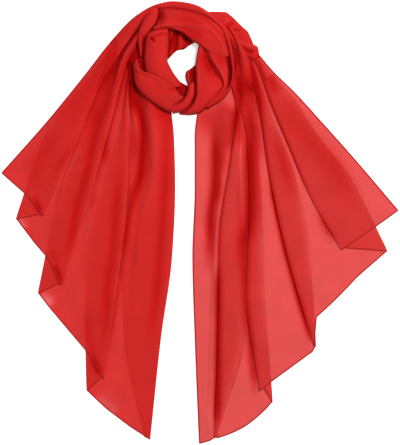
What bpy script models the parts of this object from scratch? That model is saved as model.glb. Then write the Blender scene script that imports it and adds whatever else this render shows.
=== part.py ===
"""A red chiffon scarf, laid flat and wound once round its neck opening.

The cloth is one rectangle, 1.80 m by 0.70 m, gathered by hand. Both ends fall away from the loop
in loose fans whose layers fold under and back, and the loop between them is a rounded bundle of
the same cloth. Every line of cloth is given by the places of its creases, in millimetres from the
middle of the neck opening: +X to the right, +Y towards the top of the loop, +Z up from the table.
"""
from collections import namedtuple
from math import cos, pi, sin

import bmesh
import bpy
from mathutils import Vector

MM = 0.001
NECK_MIDDLE = Vector((-28.0, 261.5, 0.0))   # place of the neck opening's middle in the part's frame
WALL = 1.2            # thickness of the cloth wall
LAYER = 2.2           # height from one lying layer to the next
FALL_ROWS = 20        # rows of faces from neck to hem in each fall
SHELF = 12.3          # height below the loop's overhang, where the falls slide in
RIM = 13.2            # height of the loop's outermost line
STATIONS = (0.0, 0.1, 0.25, 0.45, 0.7, 1.0)   # where a fall's lines are given, neck to hem

Fold = namedtuple("Fold", "over under notch out puff")
# over:  line where the upper layer turns under, at the six stations
# under: hidden line below it, where the cloth turns back again
# notch: place on the hem where the upper layer crosses the hidden line
# out:   place on the hem where the lower layer comes out from beneath
# puff:  how far the fold stands above its layers at the neck, half way and at the hem
Ridge = namedtuple("Ridge", "line height")

LEFT_EDGE = Ridge(((-42, 104), (-77, 86), (-118, 45), (-166, -16), (-229, -89), (-304, -178)), (5, 0, 0))
LEFT_FOLDS = (
    Fold(over=((-48, 94), (-80, 68), (-113, 20), (-148, -51), (-187, -141), (-234, -249)),
         under=((-45, 99), (-81, 73), (-122, 24), (-171, -47), (-227, -138), (-281, -255)),
         notch=(-265, -213), out=(-247, -299), puff=(2, 4, 0.5)),
    Fold(over=((-74, 39), (-94, 4), (-110, -62), (-131, -144), (-159, -246), (-202, -365)),
         under=((-67, 59), (-92, 20), (-121, -46), (-155, -136), (-200, -245), (-244, -380)),
         notch=(-229, -319), out=(-222, -405), puff=(6.2, 7, 0.5)),
    Fold(over=((-83, 8), (-92, -38), (-91, -113), (-94, -223), (-109, -360), (-133, -522)),
         under=((-78, 24), (-98, -22), (-104, -112), (-114, -228), (-134, -372), (-162, -544)),
         notch=(-161, -479), out=(-143, -561), puff=(5, 6, 0.5)),
)
LEFT_RIDGES = (
    Ridge(((-87, 0), (-86, -54), (-75, -138), (-86, -254), (-104, -400), (-126, -575)), (9, 6, 1)),
    Ridge(((-81, -20), (-76, -63), (-64, -150), (-82, -266), (-96, -412), (-109, -588)), (0, 0, 0)),
    Ridge(((-66, -38), (-51, -85), (-49, -169), (-72, -283), (-82, -429), (-89, -603)), (10.7, 8, 2)),
)
LEFT_INNER = Fold(
    over=((-20, -71), (-15, -120), (-13, -203), (-18, -316), (-37, -456), (-55, -625)),
    under=((-44, -58), (-62, -110), (-83, -192), (-104, -306), (-99, -449), (-65, -620)),
    notch=None, out=None, puff=(1, 1, 0))

RIGHT_EDGE = Ridge(((126, 16), (151, -8), (188, -44), (229, -101), (287, -167), (360, -242)), (2, 0, 0))
RIGHT_FOLDS = (
    Fold(over=((116, 22), (130, -11), (148, -63), (176, -130), (212, -213), (267, -307)),
         under=((123, 19), (141, -14), (170, -67), (214, -133), (271, -214), (344, -309)),
         notch=(327, -266), out=(292, -349), puff=(3, 7, 1)),
    Fold(over=((80, 50), (107, 7), (126, -72), (143, -179), (170, -312), (219, -467)),
         under=((98, 34), (122, -9), (150, -83), (188, -182), (213, -311), (224, -469)),
         notch=(225, -420), out=(216, -478), puff=(5, 8, 1)),
    Fold(over=((82, 17), (87, -37), (96, -122), (96, -235), (105, -375), (130, -543)),
         under=((86, 28), (97, -28), (114, -116), (131, -234), (138, -384), (151, -563)),
         notch=(150, -528), out=(139, -573), puff=(4, 5, 0.5)),
    Fold(over=((77, -15), (84, -75), (78, -166), (61, -287), (57, -439), (48, -622)),
         under=((80, -2), (91, -63), (95, -156), (100, -281), (105, -436), (58, -617)),
         notch=(61, -621), out=(46, -627), puff=(6.5, 4, 0)),
)
RIGHT_RIDGES = (
    Ridge(((75, -41), (70, -88), (66, -176), (54, -296), (49, -446), (42, -628)), (3, 3, 0.5)),
    Ridge(((54, -60), (55, -98), (57, -186), (48, -304), (42, -452), (39, -629)), (0, 0, 0)),
    Ridge(((25, -77), (21, -117), (21, -203), (17, -317), (21, -460), (28, -632)), (3, 1, 0)),
)

# The loop's stretches. Each line runs the same way along its stretch and gives a place (x, y) and
# the height of the cloth there.
OVER_RIM = ((-43, 103), (-36, 105), (-5, 109), (37, 95), (66, 68), (81, 39), (86, 10.2))
OVER_LINES = (
    ((-42, 95, 14), (-35, 97, 20), (-5, 98, 20), (33, 87, 21), (60, 62, 22), (74, 36, 24), (81, 9.4, 26)),
    ((-42, 82, 12), (-35, 82, 26), (-4, 83, 27), (29, 76, 28), (51, 56, 28), (68, 34, 28), (78, 9.0, 28)),
    ((-43, 71, 15), (-36, 70, 32), (-7, 69, 34), (24, 67, 35), (46, 58, 34), (62, 42, 31), (76, 8.8, 28)),
    ((-43, 68, 15), (-35, 65.5, 29), (-8, 64, 30), (20, 56, 29), (39, 43, 28), (53, 29, 27), (72, 8.4, 27)),
    ((-43, 66, 14), (-34, 63.5, 22), (-8, 61, 22), (17, 48, 20), (32, 31.2, 18), (50, 17, 20), (70, 8.2, 24)),
)
SIDE_RIM = ((86, 7.9), (86, -7), (85, -25), (76, -45), (62, -59), (44, -70), (18, -81))
SIDE_LINES = (
    ((81, 8.0, 27), (79, -2, 20), (79, -18, 18), (73, -40, 18), (60, -55, 19), (41, -66, 20), (17, -79, 16)),
    ((69, 7.3, 28), (66, -8, 26), (72, -25, 27), (70, -40, 28), (55, -54, 27), (38, -64, 24), (15, -77, 17)),
    ((50, 16.4, 24), (49, -2, 19), (55, -20, 17), (56, -35, 17), (47, -50, 17), (33, -60, 18), (13, -75, 16)),
    ((39, 24.6, 22), (36, 2, 24), (39, -18, 26), (38, -35, 26), (34, -49, 25), (25, -60, 23), (11, -74, 16)),
    ((32, 30.3, 17), (27, 5, 12), (22, -13, 11), (22, -32, 11), (19, -45, 11), (16, -57, 11), (8, -74, 12)),
    ((29, 33, 13), (23, 8, 10), (9, -12, 9), (12, -34, 9), (11, -45, 9), (9, -57, 9), (6, -73, 10)),
)
CHIN_RIM = ((-84, -8), (-79, -32), (-56, -54), (-31, -74), (-18, -79), (0, -81))
CHIN_LINES = (
    ((-80, -3, 26), (-69, -22, 27), (-47, -39, 28), (-24, -60, 27), (-14, -69, 24), (1, -76, 16)),
    ((-77, -2, 28), (-64, -10, 31), (-36, -24, 31), (-11, -41, 29), (-6, -53, 22), (3, -71, 15)),
)
INNER_LINES = (
    ((-68, 45, 9), (-70, 36, 9), (-72, 25, 9), (-76, 11, 8), (-76, 3, 8), (-67, -7.4, 8)),
    ((-61.8, 47.6, 9.5), (-64.8, 37, 9.5), (-65.8, 24, 9.5), (-65.8, 11, 9), (-64.8, 2, 9), (-62, -10, 9)),
    ((-61, 48, 28), (-64, 37, 18), (-65, 24, 16), (-65, 11, 16), (-64, 2, 16), (-61, -10.6, 14)),
    ((-54, 57, 32), (-55, 42, 24), (-56, 25, 22), (-56, 10, 22), (-54, -2, 21), (-49, -16.8, 18)),
    ((-46, 64.5, 32), (-45, 45, 27), (-46, 26, 25), (-46, 9, 25), (-43, -8, 24), (-33, -24.6, 19)),
    ((-37, 63.6, 30), (-35, 46, 26), (-35, 27, 24), (-35, 8, 23), (-31, -9, 21), (-17, -33.6, 17)),
    ((-26, 61.8, 24), (-25, 42, 18), (-25, 25, 13), (-26, 10, 12), (-18, -6, 12), (-3, -27, 11)),
)
INSIDE_LINES = (
    ((-25.4, 61.6, 16), (-15, 60, 20), (-8, 60, 15), (2, 55.5, 20), (16, 47.2, 14)),
    ((-24.5, 37, 12), (-16, 44, 17), (-7, 45, 10), (3, 43, 17), (18, 43, 12)),
    ((-24.8, 17, 6), (-17, 24, 11), (-8, 29, 6), (3, 31, 10), (20, 39, 7)),
)
WEDGE_LINES = (
    ((-54, 96, 14), (-66, 79, 16), (-74, 60, 17), (-75, 45, 17), (-71, 25, 14)),
    ((-49, 92, 24), (-57, 76, 28), (-67, 58, 28), (-71, 42, 25), (-70, 24, 18)),
    ((-42.6, 91, 17), (-45, 73, 20), (-60, 56, 24), (-66, 39, 20), (-68, 22, 15)),
)
TUCK_LINES = (
    ((-4, -53, 17), (0, -61, 16), (4, -71, 14)),
    ((2, -49, 18), (4, -59, 17), (5, -71, 14)),
    ((9, -44, 12), (7, -57, 12), (5.5, -71, 12)),
)
SHOULDER_LINES = (
    ((45, 92, 5), (71, 92, 4), (87, 80, 6), (107, 60, 4), (117, 38, 6), (127, 28, 3)),
    ((49, 88, 9), (69, 81, 12), (82, 69, 10), (97, 51, 13), (112, 34, 11), (124, 25, 5)),
    ((51, 83, 8), (66, 64, 8), (76.5, 54.5, 8), (91, 42.5, 8), (107, 30.5, 8), (122, 21.5, 4)),
)


def slopes(knots, values):
    """Slopes that keep a curve through the values from swinging past any of them."""
    steps = [(values[i + 1] - values[i]) / (knots[i + 1] - knots[i]) for i in range(len(knots) - 1)]
    inner = []
    for before, after in zip(steps, steps[1:]):
        inner.append(0.0 if before * after <= 0 else 2 * before * after / (before + after))
    return [steps[0]] + inner + [steps[-1]]


def curve_value(knots, values, at):
    """Value at one place of the smooth curve through the given values."""
    lean = slopes(knots, values)
    i = max(k for k in range(len(knots) - 1) if knots[k] <= at or k == 0)
    span = knots[i + 1] - knots[i]
    t = (at - knots[i]) / span
    return ((1 + 2 * t) * (1 - t) ** 2 * values[i] + t * (1 - t) ** 2 * span * lean[i]
            + t * t * (3 - 2 * t) * values[i + 1] + t * t * (t - 1) * span * lean[i + 1])


def along(line, at, knots=STATIONS):
    """Point of a crease line at one place between neck and hem."""
    return Vector([curve_value(knots, axis, at) for axis in zip(*line)])


def height_at(heights, at):
    """Height between its values at the neck, half way and at the hem."""
    return curve_value((0.0, 0.4, 1.0), heights, at)


def clear_scene():
    for item in list(bpy.data.objects):
        bpy.data.objects.remove(item, do_unlink=True)


def chiffon(name, colour):
    """Sheer polyester crepe: fine, matt, a little translucent where it lies single."""
    material = bpy.data.materials.new(name)
    material.use_nodes = True
    shader = material.node_tree.nodes["Principled BSDF"]
    shader.inputs["Base Color"].default_value = (*colour, 1.0)
    shader.inputs["Roughness"].default_value = 0.75
    shader.inputs["Metallic"].default_value = 0.0
    return material


def add_solid(name, points, faces, material):
    """One closed body from points in millimetres, faces turned outwards."""
    mesh = bpy.data.meshes.new(name)
    mesh.from_pydata([(p + NECK_MIDDLE) * MM for p in points], [], faces)
    shape = bmesh.new()
    shape.from_mesh(mesh)
    bmesh.ops.remove_doubles(shape, verts=shape.verts, dist=0.00001)
    bmesh.ops.dissolve_degenerate(shape, edges=shape.edges, dist=0.00001)
    bmesh.ops.triangulate(shape, faces=shape.faces)
    bmesh.ops.recalc_face_normals(shape, faces=shape.faces)
    if shape.calc_volume(signed=True) < 0:
        bmesh.ops.reverse_faces(shape, faces=shape.faces)
    shape.to_mesh(mesh)
    shape.free()
    mesh.materials.append(material)
    mesh.shade_smooth()
    item = bpy.data.objects.new(name, mesh)
    bpy.context.scene.collection.objects.link(item)
    return item


# ---- the two falls: one wall of cloth, folded under and back -------------------------------------

def flat_point(place, height):
    return Vector((place[0], place[1], height))


def span(path, start, end, steps):
    """Cloth from one point to the next, its height easing from one to the other."""
    for k in range(1, steps + 1):
        t = k / steps
        point = start.lerp(end, t)
        point.z = start.z + (end.z - start.z) * t * t * (3 - 2 * t)
        path.append(point)


def turn(path, tip, travel, upper, lower):
    """The cloth rolls round a fold, from the upper layer to the lower one."""
    radius = (upper - lower) / 2
    centre = tip - travel * radius
    for angle in (pi / 2, pi / 5, -pi / 5, -pi / 2):
        point = centre + travel * radius * cos(angle)
        point.z = (upper + lower) / 2 + radius * sin(angle)
        path.append(point)
    return path[-1]


def direction(start, end):
    step = Vector((end.x - start.x, end.y - start.y, 0.0))
    return step.normalized()


def fold_path(path, fold, at):
    """One fold: over the hidden line, round, back below, round again, and out at the bottom."""
    floor = WALL / 2
    slide = at ** 4
    over = flat_point(along(fold.over, at), 0)
    under = flat_point(along(fold.under, at), 0)
    notch = flat_point(fold.notch, 0) - flat_point(fold.under[-1], 0)
    out = flat_point(fold.out, 0) - flat_point(fold.over[-1], 0)
    puff = height_at(fold.puff, at)
    top = floor + 2 * LAYER + puff
    roll = LAYER + puff * 0.3
    mount = flat_point(under + notch * slide, top - puff * 0.4)
    span(path, path[-1], mount, 3)
    inwards = direction(mount, over)
    span(path, path[-1], flat_point(over - inwards * roll / 2, top), 1)
    path.pop()
    back = turn(path, over, inwards, top, top - roll)
    outwards = direction(back, under)
    span(path, back, flat_point(under - outwards * LAYER / 2, floor + LAYER), 2)
    path.pop()
    low = turn(path, under, outwards, floor + LAYER, floor)
    span(path, low, flat_point(over + out * slide, floor), 2)


def cloth_path(edge, folds, ridges, inner, at):
    """The cloth's middle line across a fall, from its outer long edge to its inner one."""
    floor = WALL / 2
    path = [flat_point(along(edge.line, at), floor + height_at(edge.height, at))]
    for fold in folds:
        fold_path(path, fold, at)
    for ridge in ridges:
        span(path, path[-1], flat_point(along(ridge.line, at), floor + height_at(ridge.height, at)), 3)
    if inner:
        top = floor + LAYER + height_at(inner.puff, at)
        tip = flat_point(along(inner.over, at), 0)
        inwards = direction(path[-1], tip)
        span(path, path[-1], flat_point(tip - inwards * LAYER, top), 3)
        path.pop()
        low = turn(path, tip, inwards, top, floor)
        span(path, low, flat_point(along(inner.under, at), floor), 3)
    return path


def wall_solid(name, rows, material):
    """A closed wall of even thickness round a grid of points on the cloth's middle."""
    count, length = len(rows), len(rows[0])
    outer, inner = [], []
    for j in range(count):
        for i in range(length):
            across = rows[j][min(i + 1, length - 1)] - rows[j][max(i - 1, 0)]
            down = rows[min(j + 1, count - 1)][i] - rows[max(j - 1, 0)][i]
            normal = across.cross(down).normalized() * (WALL / 2)
            outer.append(rows[j][i] + normal)
            inner.append(rows[j][i] - normal)
    for point in outer + inner:
        point.z = max(point.z, 0.0)
    total = count * length
    faces = []
    for j in range(count - 1):
        for i in range(length - 1):
            a, b = j * length + i, j * length + i + 1
            c, d = b + length, a + length
            faces.append((a, b, c, d))
            faces.append((total + d, total + c, total + b, total + a))
    rim = [(i, i + 1) for i in range(length - 1)]
    rim += [(j * length + length - 1, (j + 1) * length + length - 1) for j in range(count - 1)]
    rim += [(total - 1 - i, total - 2 - i) for i in range(length - 1)]
    rim += [((j + 1) * length, j * length) for j in reversed(range(count - 1))]
    faces += [(b, a, total + a, total + b) for a, b in rim]
    return add_solid(name, outer + inner, faces, material)


def fall(name, edge, folds, ridges, inner, material):
    rows = [cloth_path(edge, folds, ridges, inner, (j / FALL_ROWS) ** 1.25) for j in range(FALL_ROWS + 1)]
    return wall_solid(name, rows, material)


# ---- the loop: rounded bundles of cloth, flat below ---------------------------------------------

def spread(values, steps):
    """More points on a smooth line through the given ones, the same number between each two."""
    knots = list(range(len(values)))
    points = []
    for k in range((len(values) - 1) * steps + 1):
        points.append(Vector([curve_value(knots, axis, k / steps) for axis in zip(*values)]))
    return points


def rolled_rim(rim, side, taper):
    """Lines of a rounded overhang round a stretch's outer edge, from its foot to its shoulder."""
    lines = []
    for depth, height in ((12.0, 0.0), (11.6, SHELF), (0.0, RIM), (1.2, RIM + 5.0), (4.0, RIM + 9.5)):
        line = []
        for k, point in enumerate(rim):
            ahead, behind = rim[min(k + 1, len(rim) - 1)], rim[max(k - 1, 0)]
            run = Vector((ahead[0] - behind[0], ahead[1] - behind[1])).normalized()
            inward = Vector((run.y, -run.x)) * side * depth * taper[k]
            line.append((point[0] + inward.x, point[1] + inward.y, height))
        lines.append(line)
    return lines


def bundle(name, lines, material, base=0.0, hang=0, along_steps=3, across_steps=2):
    """A closed bundle under the given lines of cloth, with upright ends and a flat underside.

    hang is how many of the first lines lie in the overhang of a rolled rim."""
    rows = [spread(line, along_steps) for line in lines]
    columns = [spread([row[k] for row in rows], across_steps) for k in range(len(rows[0]))]
    points = [point for column in columns for point in column]
    width, count = len(columns[0]), len(columns)
    faces = []
    for j in range(count - 1):
        for i in range(width - 1):
            a = j * width + i
            faces.append((a, a + 1, a + 1 + width, a + width))
    kept = [0, *range(hang * across_steps, width)] if hang else list(range(width))
    far = (count - 1) * width
    feet = kept + [j * width + width - 1 for j in range(1, count - 1)]
    feet += [far + i for i in reversed(kept)] + [j * width for j in range(count - 2, 0, -1)]
    start = len(points)
    points += [Vector((points[top].x, points[top].y, base)) for top in feet]
    for k, here in enumerate(feet):
        after = (k + 1) % len(feet)
        there = feet[after]
        step = 1 if there > here else -1
        same_end = here // width == there // width
        edge = range(here, there + step, step) if same_end else (here, there)
        faces.append([*edge, start + after, start + k])
    faces.append([start + k for k in range(len(feet))])
    return add_solid(name, points, faces, material)


def build_scarf():
    cloth = chiffon("red chiffon", (0.62, 0.02, 0.02))
    shade = chiffon("red chiffon in the loop", (0.50, 0.012, 0.012))
    fall("left_fall", LEFT_EDGE, LEFT_FOLDS, LEFT_RIDGES, LEFT_INNER, cloth)
    fall("right_fall", RIGHT_EDGE, RIGHT_FOLDS, RIGHT_RIDGES, None, cloth)
    over_rim = rolled_rim(OVER_RIM, 1, (0.6, 1, 1, 1, 1, 1, 0.8))
    side_rim = rolled_rim(SIDE_RIM, 1, (0.8, 1, 1, 1, 1, 0.9, 0.3))
    chin_rim = rolled_rim(CHIN_RIM, -1, (0.3, 0.8, 1, 1, 0.9, 0.3))
    bundle("loop_over", over_rim + list(OVER_LINES), shade, hang=6)
    bundle("loop_side", side_rim + list(SIDE_LINES), shade, hang=6)
    bundle("loop_chin", chin_rim + list(CHIN_LINES), shade, hang=6)
    bundle("loop_inner", INNER_LINES, shade)
    bundle("loop_inside", INSIDE_LINES, shade)
    bundle("loop_wedge", WEDGE_LINES, shade, base=SHELF)
    bundle("loop_tuck", TUCK_LINES, shade)
    bundle("shoulder_turn", SHOULDER_LINES, shade)


clear_scene()
build_scarf()
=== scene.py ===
from collections import namedtuple
from math import cos, pi, sin

import bpy
import numpy as np
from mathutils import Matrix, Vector


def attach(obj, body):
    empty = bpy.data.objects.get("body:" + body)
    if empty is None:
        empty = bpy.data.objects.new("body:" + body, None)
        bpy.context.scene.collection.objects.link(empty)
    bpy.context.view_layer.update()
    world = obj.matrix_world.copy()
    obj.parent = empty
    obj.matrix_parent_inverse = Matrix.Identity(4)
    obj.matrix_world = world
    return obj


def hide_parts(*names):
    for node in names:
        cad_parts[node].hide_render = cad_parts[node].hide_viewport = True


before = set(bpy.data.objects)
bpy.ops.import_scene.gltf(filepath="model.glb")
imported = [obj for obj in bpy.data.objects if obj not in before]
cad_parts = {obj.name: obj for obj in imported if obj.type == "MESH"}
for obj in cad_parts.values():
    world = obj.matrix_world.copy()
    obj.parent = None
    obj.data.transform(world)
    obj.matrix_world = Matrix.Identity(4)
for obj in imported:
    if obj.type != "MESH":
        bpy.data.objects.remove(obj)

bpy.ops.object.select_all(action="DESELECT")
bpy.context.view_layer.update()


# ---- the left end of the scarf ----
# The end that comes over the top of the loop and falls to the left. It is plain-woven crepe chiffon
# of polyester, piece-dyed red and sheer. It is fanned out in three folds, each turned under and back,
# and its inner long edge is folded beneath it. All lengths are mm from the neck opening's middle.

MM = 0.001
CREPE_PITCH = 1.3 * MM      # spacing of the crinkle in the crepe yarn
CREPE_DEPTH = 0.15 * MM
THREAD_PITCH = 0.8 * MM     # spacing of the thicker threads, which run both ways
THREAD_COURSE = 0.05        # how fast they change along their course, where 1 is across it
THREAD_HEIGHT = 0.8         # where 1 is the crinkle's
TONE_PATCHES = 22.0         # lighter and darker patches in a metre of cloth
DEEP_RED = (0.71, 0.033, 0.030)     # where the plies lie doubled
# share of each colour that is left where the cloth is gathered and where shade is painted on it, in
# creases, valleys and beside folds: not at all, half and tightest, under the darkest painted shade
GATHER_AND_SHADE_SHARES = ((0.0, (1.0, 1.0, 1.0)), (0.5, (0.87, 0.34, 0.34)), (1.0, (0.55, 0.03, 0.03)))
OPEN_TIGHTEST = 0.08        # share of its openness that a ply keeps where it is gathered tightest, under the darkest painted shade
OPEN_LOOSEST = 0.97         # a ply's openness where it lies loosest, as along the painted highlights on crests


def add_node(tree, kind, **values):
    """A new shader node with values on its inputs, whose names have an underscore for each space."""
    node = tree.nodes.new("ShaderNode" + kind)
    for socket, value in values.items():
        node.inputs[socket.replace("_", " ")].default_value = value
    return node


def cloth_nodes(material):
    """A material's node tree, with its bump from the crinkled weave, which follows the UV map."""
    material.use_nodes = True
    tree = material.node_tree
    tree.nodes.clear()
    link = tree.links.new
    place = add_node(tree, "TexCoord")
    crepe = add_node(tree, "TexNoise", Scale=1 / CREPE_PITCH, Detail=2.0, Roughness=0.55)
    link(place.outputs["UV"], crepe.inputs["Vector"])
    height = crepe.outputs["Fac"]
    for stretch in ((1.0, THREAD_COURSE, 1.0), (THREAD_COURSE, 1.0, 1.0)):
        course = add_node(tree, "Mapping", Scale=[share / THREAD_PITCH for share in stretch])
        threads = add_node(tree, "TexNoise", Scale=1.0, Detail=1.0)
        raised = add_node(tree, "Math")
        raised.operation = "MULTIPLY_ADD"
        raised.inputs[1].default_value = THREAD_HEIGHT
        link(place.outputs["UV"], course.inputs["Vector"])
        link(course.outputs["Vector"], threads.inputs["Vector"])
        link(threads.outputs["Fac"], raised.inputs[0])
        link(height, raised.inputs[2])
        height = raised.outputs[0]
    bump = add_node(tree, "Bump", Strength=0.25, Distance=CREPE_DEPTH)
    link(height, bump.inputs["Height"])
    return tree, bump


def dye(tree, colour, spread):
    """The dye's colour, in patches that are lighter and darker by this share, as crepe takes it, and
    deeper where the piece's own attribute says so: where plies are gathered, and where shade is painted
    in creases, valleys and beside folds. Gives that attribute too."""
    link = tree.links.new
    place = add_node(tree, "TexCoord")
    cloud = add_node(tree, "TexNoise", Scale=TONE_PATCHES, Detail=3.0)
    link(place.outputs["Object"], cloud.inputs["Vector"])
    tone = add_node(tree, "ValToRGB")
    for stop, position, share in zip(tone.color_ramp.elements, (0.3, 0.7), (1 - spread, 1 + spread)):
        stop.position = position
        stop.color = (*[min(c * share, 1) for c in colour], 1)
    link(cloud.outputs["Fac"], tone.inputs["Fac"])
    # how closely the piece is gathered, which also carries the shade painted into its creases and
    # valleys
    plies_and_shade = add_node(tree, "Attribute")
    plies_and_shade.attribute_name = "gathers_and_shade"
    # painted shade: the colour grows darker as that attribute rises
    deeper_in_shade = add_node(tree, "ValToRGB")
    deeper_in_shade.color_ramp.elements.new(GATHER_AND_SHADE_SHARES[1][0])
    for stop, (position, colour_left) in zip(deeper_in_shade.color_ramp.elements, GATHER_AND_SHADE_SHARES):
        stop.position = position
        stop.color = (*colour_left, 1)
    link(plies_and_shade.outputs["Fac"], deeper_in_shade.inputs["Fac"])
    both = add_node(tree, "Mix", Factor=1.0)
    both.data_type = "RGBA"
    both.blend_type = "MULTIPLY"
    link(tone.outputs["Color"], both.inputs["A"])
    link(deeper_in_shade.outputs["Color"], both.inputs["B"])
    return both.outputs["Result"], plies_and_shade.outputs["Fac"]


def cloth_shader(tree, bump, tone):
    """The yarn itself: matt, with the soft bloom of fine filaments."""
    yarn = add_node(tree, "BsdfPrincipled", Roughness=0.7, Specular_IOR_Level=0.03, Sheen_Weight=0.12,
                    Sheen_Roughness=0.4, Sheen_Tint=(1.0, 0.05, 0.05, 1.0))
    tree.links.new(tone, yarn.inputs["Base Color"])
    tree.links.new(bump.outputs["Normal"], yarn.inputs["Normal"])
    return yarn


def sheer_chiffon(name, colour, clear, glow):
    """One ply: clear is the share of light that passes between the threads of one face of the shell,
    and glow the share of the rest that goes through the threads."""
    material = bpy.data.materials.new(name)
    tree, bump = cloth_nodes(material)
    link = tree.links.new
    tone, close_and_shaded = dye(tree, colour, spread=0.05)
    yarn = cloth_shader(tree, bump, tone)
    through = add_node(tree, "BsdfTranslucent")
    body = add_node(tree, "MixShader", Fac=glow)
    gaps = add_node(tree, "BsdfTransparent", Color=(1.0, 1.0, 1.0, 1.0))
    ply = add_node(tree, "MixShader")
    # where the attribute paints shade the ply is also less open, and where it paints a highlight more
    # open
    closer = add_node(tree, "MapRange", To_Min=1.0, To_Max=OPEN_TIGHTEST)
    looser = add_node(tree, "MapRange", From_Min=-1.0, From_Max=0.0, To_Min=OPEN_LOOSEST, To_Max=clear)
    open_and_unshaded_share = add_node(tree, "Math")
    open_and_unshaded_share.operation = "MULTIPLY"
    out = add_node(tree, "OutputMaterial")
    link(tone, through.inputs["Color"])
    link(yarn.outputs[0], body.inputs[1])
    link(through.outputs[0], body.inputs[2])
    link(close_and_shaded, closer.inputs["Value"])
    link(close_and_shaded, looser.inputs["Value"])
    link(closer.outputs["Result"], open_and_unshaded_share.inputs[0])
    link(looser.outputs["Result"], open_and_unshaded_share.inputs[1])
    link(open_and_unshaded_share.outputs[0], ply.inputs["Fac"])
    link(body.outputs[0], ply.inputs[1])
    link(gaps.outputs[0], ply.inputs[2])
    link(ply.outputs[0], out.inputs["Surface"])
    return material


doubled = sheer_chiffon("doubled red chiffon", DEEP_RED, clear=0.17, glow=0.22)

NECK_MIDDLE = Vector((-28.0, 261.5, 0.0))     # in the part's frame
PLY = 0.4             # thickness of the shown cloth
LAYER = 1.2           # height from one lying layer to the next
FLOOR = 0.6           # height of the lowest layer's middle
STATIONS = (0.0, 0.1, 0.25, 0.45, 0.7, 1.0)   # where the crease lines are given, neck to hem
HEIGHT_STATIONS = (0.0, 0.4, 1.0)             # where the heights are given
FALL_ROWS = 120       # rows of faces from neck to hem
TUCK = 16.0           # how far the ends run on under the loop
TUCK_ROWS = 8
TUCK_LOWERED = 0.6    # share of its height that the cloth loses on the way
LOOP_MIDDLE = (5, 12)
SLIDE_POWER = 4       # the higher it is, the nearer to the hem do the layers slide
LIFT_BELOW = 0.3      # share of its puff that a fold's two layers stand further apart
CORNER = 1.2          # how far the hem's corners are rounded off
UPPER_CORNER = 0.6    # the upper layer's share of that
CORNER_START = 0.97   # share of the way to the hem where that begins
MOUNT_STEPS, TOP_STEPS, BACK_STEPS, OUT_STEPS = 20, 16, 12, 14    # faces across a fold's stretches
TURN_POINTS = 9       # points round a fold's edge
RIDGE_STEPS = 12      # faces from one ridge to the next

Fold = namedtuple("Fold", "over under notch out puff roll bow", defaults=((0, 0),))
# over:  line where the upper layer turns under, at the six stations
# under: hidden line below it, where the cloth turns back again
# notch: place on the hem where the upper layer crosses the hidden line
# out:   place on the hem where the lower layer comes out from beneath
# puff:  how far the fold stands above its layers at the neck, half way and at the hem
# roll:  how far back from its line the fold is rounded, at the same three places
# bow:   how far the hem of the ply that runs up to the fold hangs out, across and down
Ridge = namedtuple("Ridge", "line height")    # its course, and its height at the same three places

LEFT_EDGE = Ridge(
    ((-42, 104), (-77, 86), (-118, 45), (-166, -16), (-227, -91), (-304, -178)), (5, 0, 0))
LEFT_FOLDS = (
    Fold(over=((-48, 94), (-80, 68), (-113, 20), (-148, -51), (-185, -141), (-234, -249)),
         under=((-45, 99), (-80, 80), (-120, 38), (-168, -26), (-227, -104), (-281, -255)),
         notch=(-265, -213), out=(-249, -294), puff=(3, 5, 1), roll=(4, 9, 4)),
    Fold(over=((-74, 39), (-95, 4), (-113, -62), (-135, -144), (-163, -246), (-203, -365)),
         under=((-72, 52), (-97, 25), (-124, -29), (-155, -97), (-208, -218), (-244, -380)),
         notch=(-229, -319), out=(-222, -405), puff=(6, 6, 1), roll=(5, 11, 4)),
    Fold(over=((-83, 8), (-92, -38), (-91, -113), (-94, -223), (-109, -360), (-133, -522)),
         under=((-78, 24), (-95, -22), (-108, -97), (-133, -194), (-166, -338), (-162, -544)),
         notch=(-161, -479), out=(-143, -559), puff=(5, 3, 1), roll=(4, 9, 4)),
)
LEFT_RIDGES = (
    Ridge(((-87, 0), (-86, -54), (-75, -138), (-86, -254), (-104, -400), (-126, -575)), (8, 2.5, 0.8)),
    Ridge(((-81, -20), (-76, -63), (-64, -150), (-82, -266), (-96, -412), (-109, -588)), (2, 1.2, 0.5)),
    Ridge(((-66, -38), (-51, -85), (-49, -169), (-72, -283), (-82, -429), (-89, -603)), (12, 4, 0.8)),
)
LEFT_INNER = Fold(
    over=((-20, -71), (-15, -120), (-13, -203), (-18, -316), (-37, -456), (-55, -625)),
    under=((-44, -58), (-62, -110), (-83, -192), (-104, -306), (-99, -449), (-65, -620)),
    notch=None, out=None, puff=(3, 3, 0), roll=(4, 6, 2))


def slopes(knots, values):
    """Slopes that keep a curve through the values from swinging past any of them."""
    steps = [(values[i + 1] - values[i]) / (knots[i + 1] - knots[i]) for i in range(len(knots) - 1)]
    inner = []
    for before, after in zip(steps, steps[1:]):
        inner.append(0.0 if before * after <= 0 else 2 * before * after / (before + after))
    return [steps[0]] + inner + [steps[-1]]


def curve_value(knots, values, at):
    """Value at one place of the smooth curve through the given values."""
    lean = slopes(knots, values)
    i = max(k for k in range(len(knots) - 1) if knots[k] <= at or k == 0)
    gap = knots[i + 1] - knots[i]
    t = (at - knots[i]) / gap
    return ((1 + 2 * t) * (1 - t) ** 2 * values[i] + t * (1 - t) ** 2 * gap * lean[i]
            + t * t * (3 - 2 * t) * values[i + 1] + t * t * (t - 1) * gap * lean[i + 1])


def along(line, at):
    """Point of a crease line at one place between neck and hem, on the table."""
    x, y = (curve_value(STATIONS, axis, at) for axis in zip(*line))
    return Vector((x, y, 0.0))


def height_at(heights, at):
    """Height at one place, from those at the neck, half way and at the hem."""
    return curve_value(HEIGHT_STATIONS, heights, at)


def lifted(place, height):
    return Vector((place[0], place[1], height))


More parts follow.
